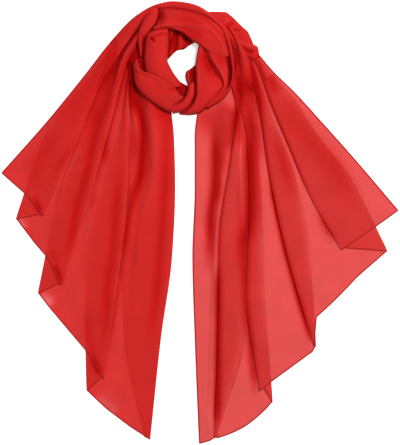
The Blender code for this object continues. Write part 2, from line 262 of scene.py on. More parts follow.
def span(path, start, end, steps):
    """Cloth from one point to the next, its height easing from one to the other."""
    for k in range(1, steps + 1):
        t = k / steps
        point = start.lerp(end, t)
        point.z = start.z + (end.z - start.z) * t * t * (3 - 2 * t)
        path.append(point)


def turn(path, tip, travel, upper, lower, reach):
    """The cloth rolls round a fold, from the upper layer to the lower one, in half an oval."""
    centre = tip - travel * reach
    for k in range(TURN_POINTS):
        angle = pi / 2 - pi * k / (TURN_POINTS - 1)
        point = centre + travel * reach * cos(angle)
        point.z = (upper + lower) / 2 + (upper - lower) / 2 * sin(angle)
        path.append(point)
    return path[-1]


def direction(start, end):
    return Vector((end.x - start.x, end.y - start.y, 0.0)).normalized()


def rounded_off(at):
    """How far a corner is drawn in, next to the hem."""
    near = min(max(0.0, (at - CORNER_START) / (1 - CORNER_START)), 1.0)
    return CORNER * (1 - (1 - near * near) ** 0.5)


def fold_path(path, fold, at):
    """One fold: over the hidden line, round, back below, round again, and out at the bottom. Near
    the hem its layers slide to the places where they show there."""
    slide = at ** SLIDE_POWER
    over = along(fold.over, at)
    under = along(fold.under, at)
    across = direction(under, over)
    over -= across * rounded_off(at) * UPPER_CORNER
    under += across * rounded_off(at)
    notch = lifted(fold.notch, 0) - lifted(fold.under[-1], 0)
    out = lifted(fold.out, 0) - lifted(fold.over[-1], 0)
    puff = height_at(fold.puff, at)
    reach = height_at(fold.roll, at)
    top = FLOOR + 2 * LAYER + puff
    thick = LAYER + puff * LIFT_BELOW
    mount = lifted(under + notch * slide, FLOOR + 2 * LAYER)
    first = len(path)
    span(path, path[-1], mount, MOUNT_STEPS)
    for k, point in enumerate(path[first:]):
        hang = sin(pi * (k + 1) / MOUNT_STEPS) * slide
        point.x += fold.bow[0] * hang
        point.y += fold.bow[1] * hang
    inwards = direction(mount, over)
    span(path, path[-1], lifted(over - inwards * reach, top), TOP_STEPS)
    path.pop()
    back = turn(path, over, inwards, top, top - thick, reach)
    outwards = direction(back, under)
    span(path, back, lifted(under - outwards * LAYER / 2, FLOOR + LAYER), BACK_STEPS)
    path.pop()
    low = turn(path, under, outwards, FLOOR + LAYER, FLOOR, LAYER / 2)
    span(path, low, lifted(over + out * slide, FLOOR), OUT_STEPS)


def cloth_path(edge, folds, ridges, inner, at):
    """The cloth's middle line across an end, from its outer long edge to its inner one."""
    path = [lifted(along(edge.line, at), FLOOR + height_at(edge.height, at))]
    for fold in folds:
        fold_path(path, fold, at)
    for ridge in ridges:
        crest = lifted(along(ridge.line, at), FLOOR + height_at(ridge.height, at))
        span(path, path[-1], crest, RIDGE_STEPS)
    if inner:
        top = FLOOR + LAYER + height_at(inner.puff, at)
        reach = height_at(inner.roll, at)
        tip = along(inner.over, at)
        inwards = direction(path[-1], tip)
        span(path, path[-1], lifted(tip - inwards * reach, top), TOP_STEPS)
        path.pop()
        low = turn(path, tip, inwards, top, FLOOR, reach)
        span(path, low, lifted(along(inner.under, at), FLOOR), OUT_STEPS)
    return path


def cloth_rows(edge, folds, ridges, inner):
    """The cloth's middle lines from neck to hem, closer together at both ends. The first rows run
    on under the loop, lower and lower."""
    places = [(1 - cos(pi * j / FALL_ROWS)) / 2 for j in range(FALL_ROWS + 1)]
    rows = [cloth_path(edge, folds, ridges, inner, at) for at in places]
    under_loop = []
    for k in range(TUCK_ROWS, 0, -1):
        share = k / TUCK_ROWS
        row = []
        for point in rows[0]:
            inwards = Vector((LOOP_MIDDLE[0] - point.x, LOOP_MIDDLE[1] - point.y)).normalized()
            height = FLOOR + (point.z - FLOOR) * (1 - TUCK_LOWERED * share)
            row.append(Vector((*(point.xy + inwards * TUCK * share), height)))
        under_loop.append(row)
    return under_loop + rows


Crease = namedtuple("Crease", "line width depth shade side fade below", defaults=(0, 0.3, 99))
# line:  its course over the table
# width: how far it reaches to each side
# depth: how far it lifts the cloth at its middle, or lowers it if negative
# shade: painted shade, how much darker and more closely gathered the cloth is in it, 0 to 1; if
# negative, a painted highlight, where it is lighter and more loosely gathered
# side:  0 on both sides, 1 only to the left hand of one who walks along it, -1 only to the right
# fade:  share of its length over which it comes up, at each end
# below: height above which the cloth has no part in it
CREASE_STEPS = 24     # points along a crease's course
STANDING = 6.0        # height from which the cloth takes the whole of a crease's depth
LOWEST = 0.3          # no crease presses the cloth lower than this


def smooth_line(line, count):
    """The given number of points on the smooth curve through the given ones."""
    knots = list(range(len(line)))
    last = len(line) - 1
    return [Vector([curve_value(knots, axis, last * k / (count - 1)) for axis in zip(*line)])
            for k in range(count)]


def creased(points, creases, base_gathers_and_shade):
    """The points with the creases pressed in, and at each how closely the cloth is gathered and how
    much shade is painted there, or highlight where that is negative.
    """
    spots = np.array([tuple(p) for p in points])
    lift, open_and_unshaded = np.zeros(len(spots)), np.full(len(spots), 1 - base_gathers_and_shade)
    for crease in creases:
        course = np.array([tuple(p)[:2] for p in smooth_line(crease.line, CREASE_STEPS)])
        nearest = np.full(len(spots), np.inf)
        place, hand = np.zeros(len(spots)), np.zeros(len(spots))
        for k, (a, b) in enumerate(zip(course, course[1:])):
            run = b - a
            size = run @ run
            if not size:
                continue
            t = ((spots[:, :2] - a) @ run / size).clip(0, 1)
            gap = spots[:, :2] - a - t[:, None] * run
            far = np.hypot(gap[:, 0], gap[:, 1])
            closer = far < nearest
            nearest[closer] = far[closer]
            place[closer] = (k + t[closer]) / (CREASE_STEPS - 1)
            hand[closer] = np.sign(run[0] * gap[closer, 1] - run[1] * gap[closer, 0])
        ends = (np.minimum(place, 1 - place) / crease.fade).clip(0, 1)
        strength = np.exp(-(nearest / crease.width) ** 2) * ends * ends * (3 - 2 * ends)
        if crease.side:
            strength[hand * crease.side < 0] = 0.0
        strength[spots[:, 2] > crease.below] = 0.0
        lift += crease.depth * strength
        # painted shade where the crease's shade is positive, painted highlight where it is negative
        open_and_unshaded *= 1 - crease.shade * strength
    standing = (spots[:, 2] / STANDING).clip(0, 1)
    spots[:, 2] = np.maximum(spots[:, 2] + lift * standing, LOWEST)
    return [Vector(p) for p in spots], (1 - open_and_unshaded).clip(-1, 1)


def add_piece(name, points, faces, uvs, material, thick=0.0, gathers_and_shade=None):
    """A shown piece from points in millimetres. uvs gives each its place on the cloth, in metres."""
    mesh = bpy.data.meshes.new(name)
    mesh.from_pydata([(p + NECK_MIDDLE) * MM for p in points], [], faces)
    layer = mesh.uv_layers.new(name="on the cloth")
    corners = np.empty(len(mesh.loops), np.int32)
    mesh.loops.foreach_get("vertex_index", corners)
    layer.data.foreach_set("uv", np.asarray(uvs, np.float32)[corners].ravel())
    close_and_shaded = mesh.attributes.new("gathers_and_shade", "FLOAT", "POINT")
    if gathers_and_shade is not None:
        close_and_shaded.data.foreach_set("value", np.asarray(gathers_and_shade, np.float32))
    mesh.materials.append(material)
    mesh.shade_smooth()
    item = bpy.data.objects.new(name, mesh)
    bpy.context.scene.collection.objects.link(item)
    if thick:
        wall = item.modifiers.new("wall", "SOLIDIFY")
        wall.thickness = thick * MM
        wall.offset = 0.0
    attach(item, "root")
    return item


def grid_uvs(rows):
    """Places on the flat cloth for a grid of points: metres across and down from its corner."""
    uvs = []
    down = np.zeros(len(rows[0]))
    for j, row in enumerate(rows):
        if j:
            down = down + [(a - b).length for a, b in zip(row, rows[j - 1])]
        across = 0.0
        for i, point in enumerate(row):
            if i:
                across += (point - row[i - 1]).length
            uvs.append((across * MM, float(down[i]) * MM))
    return uvs


def cloth_piece(name, rows, material, creases=(), base_gathers_and_shade=0.0, sunk_shade=None):
    """A sheet of cloth through rows of points, with its creases. The one number is how closely it is
    gathered, and how much shade is painted on it, where no crease says otherwise; the two heights are
    those between which it closes up and is painted darker the lower it lies, as shade in its hollows."""
    width = len(rows[0])
    points, gathers_and_shade = creased([p for row in rows for p in row], creases, base_gathers_and_shade)
    # painted shade: the lower the cloth lies between the two heights, the darker and less open it is
    if sunk_shade:
        low, high = sunk_shade
        open_and_unshaded_share = np.clip([(p.z - low) / (high - low) for p in points], 0, 1)
        gathers_and_shade = 1 - (1 - gathers_and_shade) * open_and_unshaded_share
    faces = []
    for j in range(len(rows) - 1):
        for i in range(width - 1):
            a = j * width + i
            faces.append((a, a + 1, a + 1 + width, a + width))
    return add_piece(name, points, faces, grid_uvs(rows), material, PLY, gathers_and_shade)


# The crease shades paint shade beside the folds, in the troughs and near the loop, where the plies also
# lie closer, and the negative ones paint lighter, looser cloth along crests and near the hem; the last
# three leave the lowest plies more open beside their hidden fold lines.
LEFT_CREASES = (
    Crease(LEFT_FOLDS[0].over, 2.5, 0, -0.4, -1, 0.15),
    Crease(LEFT_FOLDS[0].over[:5], 4, 0, 0.7, 1),
    Crease(LEFT_FOLDS[1].over, 2.5, 0, -0.5, -1, 0.15),
    Crease(LEFT_FOLDS[1].over[:5], 4, 0, 0.8, 1),
    Crease(LEFT_FOLDS[2].over, 2.5, 0, -0.3, -1, 0.3),
    Crease(LEFT_FOLDS[2].over, 4, 0, 0.5, 1, 0.15),
    Crease(((-67, 82), (-82, 62), (-92, 47), (-103, 28), (-118, -3), (-130, -30), (-143, -62)),
           9, -3, 1.0),
    Crease(((-122, 34), (-126, 17), (-133, -11), (-142, -33), (-152, -55)), 4, -1, 0.45),
    Crease(((-75, 49), (-90, 32), (-100, 12), (-109, -13), (-119, -42), (-128, -71)), 6, 2, -0.3),
    Crease(((-70, 60), (-82, 20), (-88, -20), (-84, -52), (-80, -85)), 7, -3, 1.0, 0, 0.2),
    Crease(((-86, 62), (-108, 20), (-128, -30), (-140, -80)), 26, 0, 0.35),
    Crease(((-109, 2), (-143, -62), (-175, -124), (-215, -173), (-225, -203)), 8, -2, 0.3),
    Crease(((-102, -8), (-126, -55), (-148, -106), (-161, -173), (-180, -240), (-193, -307),
            (-207, -338)), 9, -2, 0.5),
    Crease(((-99, -139), (-108, -190), (-114, -240), (-119, -307), (-128, -375), (-131, -442),
            (-143, -502)), 9, -2, 0.45),
    Crease(((-87, -12), (-82, -47), (-74, -69), (-67, -106), (-70, -173), (-79, -211), (-88, -244)),
           8, -2, 1.0),
    Crease(((-76, -195), (-87, -235), (-95, -280), (-102, -330)), 6, 0, 0.5),
    Crease(((-76, -42), (-55, -69), (-49, -106), (-50, -173), (-62, -223), (-76, -265)), 7, 1, -0.35),
    Crease(((-39, -66), (-29, -106), (-30, -173), (-34, -240), (-39, -307), (-44, -375), (-54, -442),
            (-62, -509)), 9, -2, 0.45),
    Crease(((-203, -97), (-232, -139), (-252, -173), (-247, -217)), 14, 0, 0.25),
    Crease(((-252, -212), (-243, -236), (-236, -250)), 6, 0, 0.8, 0, 0.4),
    Crease(((-228, -307), (-207, -328)), 9, 0, 0.3),
    Crease(((-218, -322), (-209, -348), (-203, -366)), 6, 0, 0.8, 0, 0.4),
    Crease(((-160, -391), (-160, -442), (-153, -475), (-143, -509)), 8, 0, 0.3),
    Crease(((-154, -478), (-145, -504), (-136, -522)), 7, 0, 0.85, 0, 0.4),
    Crease(((-100, 85), (-97, 40), (-92, -5), (-66, -50), (-30, -78), (0, -90)), 20, 0, 0.5, 0, 0.1),
    Crease(((-148, -50), (-150, -80), (-146, -110)), 12, 0, 0.3, 0, 0.4),
    Crease(((-132, -105), (-130, -140), (-131, -175)), 8, 0, 0.45, 0, 0.4),
    Crease(((-84, -95), (-82, -130), (-84, -170)), 9, 0, 0.3, 0, 0.4),
    Crease(((-153, -210), (-152, -240)), 10, 0, 0.25, 0, 0.4),
    Crease(((-150, 0), (-180, -60), (-205, -110)), 30, 0, 0.2),
    Crease(((-282, -252), (-262, -276)), 12, 0, -0.45),
    Crease(((-244, -380), (-215, -404)), 14, 0, -0.5),
    Crease(((-155, -552), (-105, -590)), 20, 0, -0.35),
    *(Crease(fold.under, 14, 0, -1.1, 1, 0.2, 2.4) for fold in LEFT_FOLDS),
)

left_rows = cloth_rows(LEFT_EDGE, LEFT_FOLDS, LEFT_RIDGES, LEFT_INNER)
left_end = cloth_piece("left_end", left_rows, doubled, LEFT_CREASES, base_gathers_and_shade=0.15)
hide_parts("left_fall")


# ---- the right end of the scarf ----
# The end that leaves the back of the loop at the right shoulder, of the same chiffon. It is folded
# four times, and its inner long edge hangs straight as a single ply, so it is the sheerer end.

RED = (0.72, 0.050, 0.046)
sheer = sheer_chiffon("sheer red chiffon", RED, clear=0.31, glow=0.22)

RIGHT_EDGE = Ridge(((128, 19), (151, -8), (188, -44), (229, -89), (287, -154), (361, -241)), (2, 0, 0))
RIGHT_FOLDS = (
    Fold(over=((116, 22), (130, -11), (148, -63), (176, -130), (211, -213), (265, -307)),
         under=((123, 19), (149, -11), (184, -49), (222, -108), (279, -182), (344, -309)),
         notch=(327, -266), out=(292, -352), puff=(2, 0.6, 0.8), roll=(3, 8, 7)),
    Fold(over=((80, 50), (107, 7), (128, -72), (144, -179), (173, -312), (219, -467)),
         under=((98, 34), (122, -9), (150, -83), (188, -182), (213, -311), (224, -469)),
         notch=(225, -420), out=(216, -478), puff=(3, 0.8, 1.2), roll=(4, 9, 9), bow=(-1, -3)),
    Fold(over=((82, 17), (89, -37), (107, -122), (111, -235), (105, -375), (128, -543)),
         under=((86, 28), (100, -28), (123, -116), (133, -234), (138, -384), (151, -563)),
         notch=(150, -528), out=(139, -573), puff=(0, 0.3, 1.2), roll=(4, 10, 9)),
    Fold(over=((77, -15), (90, -72), (79, -160), (61, -287), (59, -439), (52, -622)),
         under=((80, -2), (97, -60), (95, -156), (100, -281), (105, -436), (58, -617)),
         notch=(61, -621), out=(46, -627), puff=(3.5, 0.8, 1.2), roll=(4, 7, 7), bow=(3, -6)),
)
RIGHT_RIDGES = (
    Ridge(((75, -41), (70, -88), (66, -176), (54, -296), (49, -446), (42, -628)), (3, 3, 0.5)),
    Ridge(((54, -60), (55, -98), (57, -186), (48, -304), (42, -452), (39, -629)), (0, 0, 0)),
    Ridge(((25, -77), (21, -117), (21, -203), (17, -317), (21, -460), (28, -632)), (3, 1, 0)),
)

# The crease shades paint shade beside the folds, in the valleys and near the loop, where the plies also
# lie closer, and the one negative one among the rest paints a lighter, looser crest; the last four
# leave the lowest plies more open beside their hidden fold lines.
RIGHT_CREASES = (
    Crease(RIGHT_FOLDS[0].over, 4, 0, 0.7, 1, 0.35),
    Crease(RIGHT_FOLDS[0].over[:5], 1.5, 0, 0.6, -1, 0.15),
    Crease(RIGHT_FOLDS[1].over, 4.5, 0, 0.75, 1, 0.15),
    Crease(RIGHT_FOLDS[1].over[:5], 1.5, 0, 0.6, -1, 0.15),
    Crease(RIGHT_FOLDS[1].over[3:], 5, 0, 1.0, -1, 0.15),
    Crease(RIGHT_FOLDS[2].over[2:], 5, 0, 0.35, 1, 0.15),
    Crease(RIGHT_FOLDS[3].over, 5.5, 0, 0.4, 1, 0.1),
    Crease(RIGHT_FOLDS[3].over, 3, 0, 0.5, -1, 0.1),
    Crease(((67, 62), (82, 37), (96, -13), (106, -55), (113, -100)), 6, 3, 0),
    Crease(((84, 4), (92, -30), (95, -60), (88, -95), (80, -130)), 6, -3, 0.9),
    Crease(((101, 30), (123, -10), (141, -60), (152, -100)), 5, 3, 0),
    Crease(((113, 32), (114, 7), (120, -17), (124, -40), (129, -71), (136, -110)), 5, -3, 1.0),
    Crease(((122, 19), (133, -11), (142, -30)), 2.5, -2, 0.8),
    Crease(((144, -10), (150, -28), (154, -50)), 9, -2, 0.5),
    Crease(((113, -60), (113, -106), (112, -156), (113, -207), (111, -257), (101, -307), (101, -390)),
           13, -3, 1.0, 0, 0.3),
    Crease(((107, -257), (104, -307), (104, -375), (111, -442), (118, -509), (124, -560)),
           7, 0, 0.7, 0, 0.2),
    Crease(((60, -325), (59, -370), (59, -442), (59, -509), (57, -576), (53, -610)), 7, 0, 0.9, 0, 0.2),
    Crease(((183, -350), (199, -405), (211, -445), (218, -470)), 6, 0, 0.5, 0, 0.35),
    Crease(((93, -60), (90, -85), (85, -120), (81, -150)), 13, 0, 0.75, -1, 0.3),
    Crease(((60, -170), (58, -205), (55, -240)), 9, 0, 0.4, 0, 0.4),
    Crease(((222, -240), (241, -270), (260, -298)), 6, 0, 0.6, 0, 0.4),
    Crease(((94, -70), (97, -106), (92, -140)), 8, 0, 0.4),
    Crease(((104, 0), (110, -30), (115, -60), (115, -90), (112, -130)), 13, 0, 0.65, 0, 0.2),
    Crease(((124, -90), (127, -120), (131, -160)), 7, 0, 0.35),
    Crease(((70, -80), (69, -110), (66, -156), (62, -190)), 10, 0, 0.5),
    Crease(((86, -100), (92, -131), (89, -165), (79, -207), (76, -257), (71, -307)), 8, 2, -0.4),
    Crease(((53, -70), (54, -106), (55, -156), (54, -200), (47, -250), (46, -310), (45, -365)),
           9, -3, 0.95, 0, 0.3),
    Crease(((143, -89), (155, -123), (166, -156), (181, -207), (192, -240)), 11, -2, 0.45, 0, 0.5),
    Crease(((146, -29), (171, -69), (197, -106), (244, -156), (272, -207), (291, -260)), 20, -2, 0.35),
    Crease(((88, 60), (98, 5), (100, -30), (92, -66)), 11, 0, 0.9),
    Crease(((10, -90), (40, -86), (68, -74), (84, -56)), 24, 0, 0.5),
    Crease(((96, 50), (112, 10), (120, -35), (124, -90)), 24, 0, 0.45),
    Crease(RIGHT_FOLDS[0].under, 14, 0, -1.1, -1, 0.2, 2.4),
    Crease(RIGHT_FOLDS[1].under, 14, 0, -1.1, -1, 0.2, 2.4),
    Crease(RIGHT_FOLDS[2].under[1:], 14, 0, -1.1, -1, 0.25, 2.4),
    Crease(RIGHT_FOLDS[3].under[3:], 16, 0, -1.1, -1, 0.1, 2.4),
)
right_rows = cloth_rows(RIGHT_EDGE, RIGHT_FOLDS, RIGHT_RIDGES, None)
right_end = cloth_piece("right_end", right_rows, sheer, RIGHT_CREASES, base_gathers_and_shade=0.1)
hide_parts("right_fall")


# ---- the rolled hems ----
# The edge of the cloth is rolled twice to a soft cord about 2.5 mm wide and sewn down by machine
# with a row of short straight stitches in matching thread.

HEM_RED = (0.38, 0.013, 0.012)          # rolled, so three plies thick
GATHERED_RED = (0.51, 0.021, 0.019)     # many plies or turns of thread deep
HEM_WIDTH = 2.4
HEM_HEIGHT = 1.3
HEM_SIDES = 8
STITCH_PITCH = 3.2
STITCH_LENGTH = 2.1
STITCH_WIDTH = 0.5
STITCH_FOOT, STITCH_TOP = 0.18, 0.12    # depth of its foot in the hem, height of its top on it
STITCH_TAPER = 0.4                      # how much its top is drawn in at each end


def gathered_chiffon(name, colour):
    """Plies pressed together, too many to see through."""
    material = bpy.data.materials.new(name)
    tree, bump = cloth_nodes(material)
    tone = dye(tree, colour, spread=0.06)[0]
    yarn = cloth_shader(tree, bump, tone)
    out = add_node(tree, "OutputMaterial")
    tree.links.new(yarn.outputs[0], out.inputs["Surface"])
    return material


def sideways(run):
    """Level, and square to the way that the hem runs."""
    side = run.cross(Vector((0, 0, 1)))
    return side.normalized() if side.length > 1e-6 else Vector((1, 0, 0))


def rolled_edge(name, line, material):
    """A flattened roll along a line of points, closed at both ends."""
    points, faces, uvs = [], [], []
    reach = 0.0
    for k, point in enumerate(line):
        if k:
            reach += (point - line[k - 1]).length
        run = (line[min(k + 1, len(line) - 1)] - line[max(k - 1, 0)]).normalized()
        side = sideways(run)
        up = side.cross(run).normalized()
        for n in range(HEM_SIDES):
            angle = 2 * pi * n / HEM_SIDES
            points.append(point + side * cos(angle) * HEM_WIDTH / 2 + up * sin(angle) * HEM_HEIGHT / 2)
            uvs.append((n / HEM_SIDES * HEM_WIDTH * MM, reach * MM))
    for k in range(len(line) - 1):
        for n in range(HEM_SIDES):
            a, b = k * HEM_SIDES + n, k * HEM_SIDES + (n + 1) % HEM_SIDES
            faces.append((a, b, b + HEM_SIDES, a + HEM_SIDES))
    faces.append(list(reversed(range(HEM_SIDES))))
    faces.append([(len(line) - 1) * HEM_SIDES + n for n in range(HEM_SIDES)])
    return add_piece(name, points, faces, uvs, material)


def edge_lines(rows):
    """The cloth's free edges round one end: down the first long edge, along the hem, up the other."""
    return [row[0] for row in rows], rows[-1], [row[-1] for row in rows]


def stitches(name, lines, material):
    """A row of straight stitches along the top of each rolled edge."""
    points, faces = [], []
    for line in lines:
        reach, due = 0.0, STITCH_PITCH
        for before, after in zip(line, line[1:]):
            step = after - before
            while step.length and reach + step.length >= due:
                middle = before + step * ((due - reach) / step.length)
                run = step.normalized()
                side = sideways(run)
                up = side.cross(run).normalized()
                first = len(points)
                crown = middle + up * HEM_HEIGHT / 2
                for far, across in ((-1, -1), (1, -1), (1, 1), (-1, 1)):
                    foot = crown + run * far * STITCH_LENGTH / 2 + side * across * STITCH_WIDTH / 2
                    top = foot - run * far * STITCH_TAPER + up * STITCH_TOP
                    points.extend((foot - up * STITCH_FOOT, top))
                for n in range(4):
                    a, b = first + 2 * n, first + 2 * ((n + 1) % 4)
                    faces.append((a, a + 1, b + 1, b))
                faces.append((first + 1, first + 7, first + 5, first + 3))
                faces.append((first, first + 2, first + 4, first + 6))
                due += STITCH_PITCH
            reach += step.length
    return add_piece(name, points, faces, [(p.x * MM, p.y * MM) for p in points], material)


hem_cloth = gathered_chiffon("rolled hem", HEM_RED)
thread = gathered_chiffon("sewing thread", GATHERED_RED)
hems = {}
for side, rows in (("left", left_rows), ("right", right_rows)):
    outer, hem, inner = edge_lines(rows)
    hems[side] = [rolled_edge(f"{side}_{place}", line, hem_cloth)
                  for place, line in (("outer_edge", outer), ("hem", hem), ("inner_edge", inner))]
    hems[side].append(stitches(f"{side}_stitches", (outer, hem, inner), thread))


# ---- the plies inside the loop ----
# The middle of the scarf is gathered into a thick soft strand and wound once round the neck's place.
# These are its plies that lie under all the others, pressed flat on the table round the opening.

gathered = gathered_chiffon("gathered red chiffon", GATHERED_RED)
RING_POINTS = 160     # points round the opening
HOLE = ((-27, 11), (-18, 20), (-9, 28), (1.5, 29.5), (10, 36), (18, 41), (24, 40), (27, 35.5), (25, 20),
        (22, 6), (14, -2), (5, -9), (4, -16), (8, -25), (10, -33), (0, -27.5), (-14, -16), (-20, -3))
UNDERNEATH = ((-94, 6), (-92, 36), (-74, 80), (-44, 103), (0, 104), (38, 90), (72, 64), (100, 48),
              (108, 26), (90, -10), (80, -34), (60, -55), (38, -67), (8, -78), (-22, -74), (-50, -54),
              (-80, -40), (-94, -14))
# for each row, outwards: how far out it is, as a share, and its height
HIDDEN_PLIES = ((0, 0.4), (0.02, 3.0), (0.06, 5.0), (0.12, 6.0), (0.25, 6.5), (0.5, 6.5), (0.8, 6.0),
                (0.95, 4.0), (1, 0.4))


def ring_rows(inner, outer, sections):
    """Rows round the loop from its opening to its outside. sections gives, for each row, how far
    out it is as a share and its height."""
    round_in = smooth_line([*inner, inner[0]], RING_POINTS)
    round_out = smooth_line([*outer, outer[0]], RING_POINTS)
    return [[Vector((*a.lerp(b, share), height)) for a, b in zip(round_in, round_out)]
            for share, height in sections]


hidden_rows = ring_rows(HOLE, UNDERNEATH, HIDDEN_PLIES)
# painted shade: these plies take the darkest gathered colour, so that where they show between the
# strands they stand for the deep shadow there
hidden_plies_in_shade = cloth_piece("hidden_plies_in_shade", hidden_rows, gathered, base_gathers_and_shade=1.0)


# ---- the loop over the top ----
# The widest stretch of the loop, which lies over the others. The scarf's free edge lies along its
# inner rim as a soft cord, and it tapers to a tip where it goes down at the right side.

FINE = 1.3            # between the points of the loop's cloth


def longest(lines):
    """Length of the longest of the lines."""
    return max(sum((Vector(a) - Vector(b)).length for a, b in zip(line, line[1:])) for line in lines)


def strand_rows(lines):
    """A fine grid over the stretch's lines: rows across it, one after the other along it."""
    along_count = int(longest(lines) / FINE) + 2
    rows = [smooth_line(line, along_count) for line in lines]
    across = [[row[k] for row in rows] for k in range(along_count)]
    across_count = int(longest(across) / FINE) + 2
    return [smooth_line(column, across_count) for column in across]


def strand(name, node, lines, creases=(), sunk_shade=(6, 19)):
    """One stretch of the loop, a little lighter along its crown than in its valleys: painted shade that
    deepens the lower the cloth lies. lines run along it, from its outer edge to its inner one, each
    point with its height."""
    item = cloth_piece(name, strand_rows(lines), gathered, creases, base_gathers_and_shade=0.2, sunk_shade=sunk_shade)
    if node:
        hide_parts(node)


OVER_LINES = (
    ((-43.7, 96.9, 14), (-28.6, 97.8, 18), (-5, 95.4, 19), (23.5, 89, 19), (45.4, 79.5, 19),
     (65.5, 61.3, 20), (77.8, 18.5, 20)),
    ((-43.7, 93.2, 9), (-27.7, 94.1, 24), (-5, 91.6, 26), (21.8, 84.8, 26), (42.8, 75.6, 26),
     (63, 58, 26), (76.1, 17.6, 24)),
    ((-42.8, 84, 6), (-26, 83.2, 26), (-5, 82.3, 29), (19.3, 78.1, 29), (40.3, 70.1, 29),
     (59.6, 53.8, 28), (73.9, 16.5, 26)),
    ((-43.7, 71.4, 20), (-26, 73.4, 30), (-5, 73.9, 31), (19.3, 72.6, 31), (38.6, 67.2, 30),
     (57.5, 52.4, 29), (73.2, 16.1, 26)),
    ((-48.7, 63.8, 29), (-27.7, 68.9, 31.5), (-5, 69.6, 32), (20.2, 68.4, 32), (39.5, 63, 31),
     (56.3, 49.6, 30), (72.2, 15.1, 26)),
    ((-49.6, 61.7, 27), (-27.7, 65.9, 30.5), (-5, 65.5, 31.5), (20.2, 63, 31.5), (38, 57.1, 30.5),
     (54.1, 44.9, 29.5), (71.4, 14.6, 26)),
    ((-49.6, 60.5, 25), (-26.9, 64.7, 28), (-5, 63.8, 30), (21, 55.4, 30), (37, 42.8, 29.5),
     (50.4, 31.1, 28), (68.9, 13.4, 25)),
    ((-49.6, 59.6, 22), (-26, 63.3, 25), (-6.7, 60.1, 29), (14.3, 46.5, 28), (30.7, 35.3, 27),
     (44.5, 24.2, 25), (63.8, 12.4, 22)),
    ((-49.6, 58.8, 14), (-25.2, 62.2, 16), (-7.2, 58.5, 18), (13.4, 44.4, 18), (29.9, 33.1, 17),
     (43.3, 22.2, 16), (63, 10.8, 17)),
)
# painted highlights along its crest and edges, painted shade below them and across its face
OVER_CREASES = (
    Crease(((-52.1, 60.5), (-38.6, 65.5), (-25.2, 68.5), (-5, 69.6), (20.2, 68.4), (39.5, 63),
            (56.3, 49.6), (68.9, 28.6)), 1.5, 0.8, -0.3, 0, 0.1),
    Crease(((-8.4, 60.5), (5, 57.1), (21.8, 50.4), (38.6, 35.3)), 12, 0, 0.35),
    Crease(((-8.4, 90.7), (11.8, 84), (28.6, 75.6)), 6, 0, 0.15),
    Crease(((-16, 80), (5, 78), (22, 73), (40, 64)), 6, 0, 0.3),
    Crease(((12, 88), (38, 82), (57, 66), (70, 50), (77, 31)), 1.6, 0.6, -0.25),
    Crease(((12, 86), (36, 79), (54, 63), (67, 47), (75, 25)), 2, -0.8, 0.35),
    Crease(((5, 84), (22, 80), (45, 63), (64, 37), (73, 16)), 1.6, 0.5, -0.2),
)
strand("over_the_top", "loop_over", OVER_LINES, OVER_CREASES)


# ---- the loop down the right side ----
# The stretch that goes down from under the tip and round the bottom, in broad soft folds that close
# up where it turns under the chin flap. The small lip at the opening is the ply beneath it.

SIDE_LINES = (
    ((75.6, 33.6, 10), (84.8, 10.1, 4), (86.4, -10.1, 4), (83.2, -28.6, 4), (75.6, -44, 4),
     (63.8, -57.5, 4), (43.7, -69.4, 4), (42.8, -72.2, 2)),
    ((73.9, 31.9, 16), (82.7, 10.1, 22), (84, -10.1, 22), (80.5, -28.6, 22), (73.2, -42.5, 22),
     (61.5, -55.8, 21), (42, -67.7, 16), (42, -71.2, 3)),
    ((71.4, 28.6, 16), (74.8, 10.1, 11), (78.3, -10.1, 10), (76.6, -28.6, 12), (70.6, -41.2, 19),
     (58.8, -54.3, 19), (40.3, -66.9, 17), (40.3, -70.9, 3)),
    ((68, 26.9, 20), (70.6, 10.1, 25), (73.9, -10.1, 26), (73.6, -28.6, 25), (67.7, -40.3, 23),
     (56.8, -53.1, 21), (38.6, -66.9, 18), (39.1, -70.9, 3)),
    ((43.7, 30.2, 22), (51.2, 10.1, 27), (64.7, -11.8, 28), (68.9, -28.6, 27), (64.8, -39.6, 25),
     (54.8, -52.1, 23), (37, -67.2, 20), (37.5, -71.4, 3)),
    ((38.6, 30.2, 20), (46.2, 10.1, 21), (59.8, -13.4, 21), (66.5, -28.6, 22), (62.7, -39.3, 22),
     (53.3, -51.1, 21), (35.3, -68, 20), (35.8, -72.2, 3)),
    ((35.3, 30.2, 17), (40.3, 11.8, 15), (51.2, -11.8, 14), (56.3, -25.2, 20), (58, -37, 25),
     (50.4, -49.6, 24), (33.6, -69.7, 21), (34.1, -73.9, 3)),
    ((31.9, 33.6, 22), (31.9, 13.4, 24), (37, -11.8, 25), (42, -28.6, 27), (41.2, -43.7, 28),
     (36.1, -58, 27), (26, -74.8, 22), (26.9, -78.6, 3)),
    ((28.6, 37, 20), (25.2, 16.8, 23), (24, -8.4, 24), (24.5, -28.6, 25), (24.7, -43.7, 25),
     (20.5, -59.6, 24), (10.1, -77.3, 20), (11.8, -81, 3)),
    ((26.9, 36.1, 14), (23.5, 16.8, 14), (21.8, -8.4, 14), (21.2, -28.6, 13), (21.2, -44.5, 13),
     (17.1, -60.5, 13), (1.7, -77.3, 14), (1.7, -80.6, 3)),
    ((26, 35.3, 8), (22.3, 15.1, 8), (19.7, -8.4, 8), (18.8, -28.6, 8), (19, -45.4, 8),
     (14.3, -60.5, 8), (-5, -76.4, 8), (-5.9, -79.8, 3)),
)
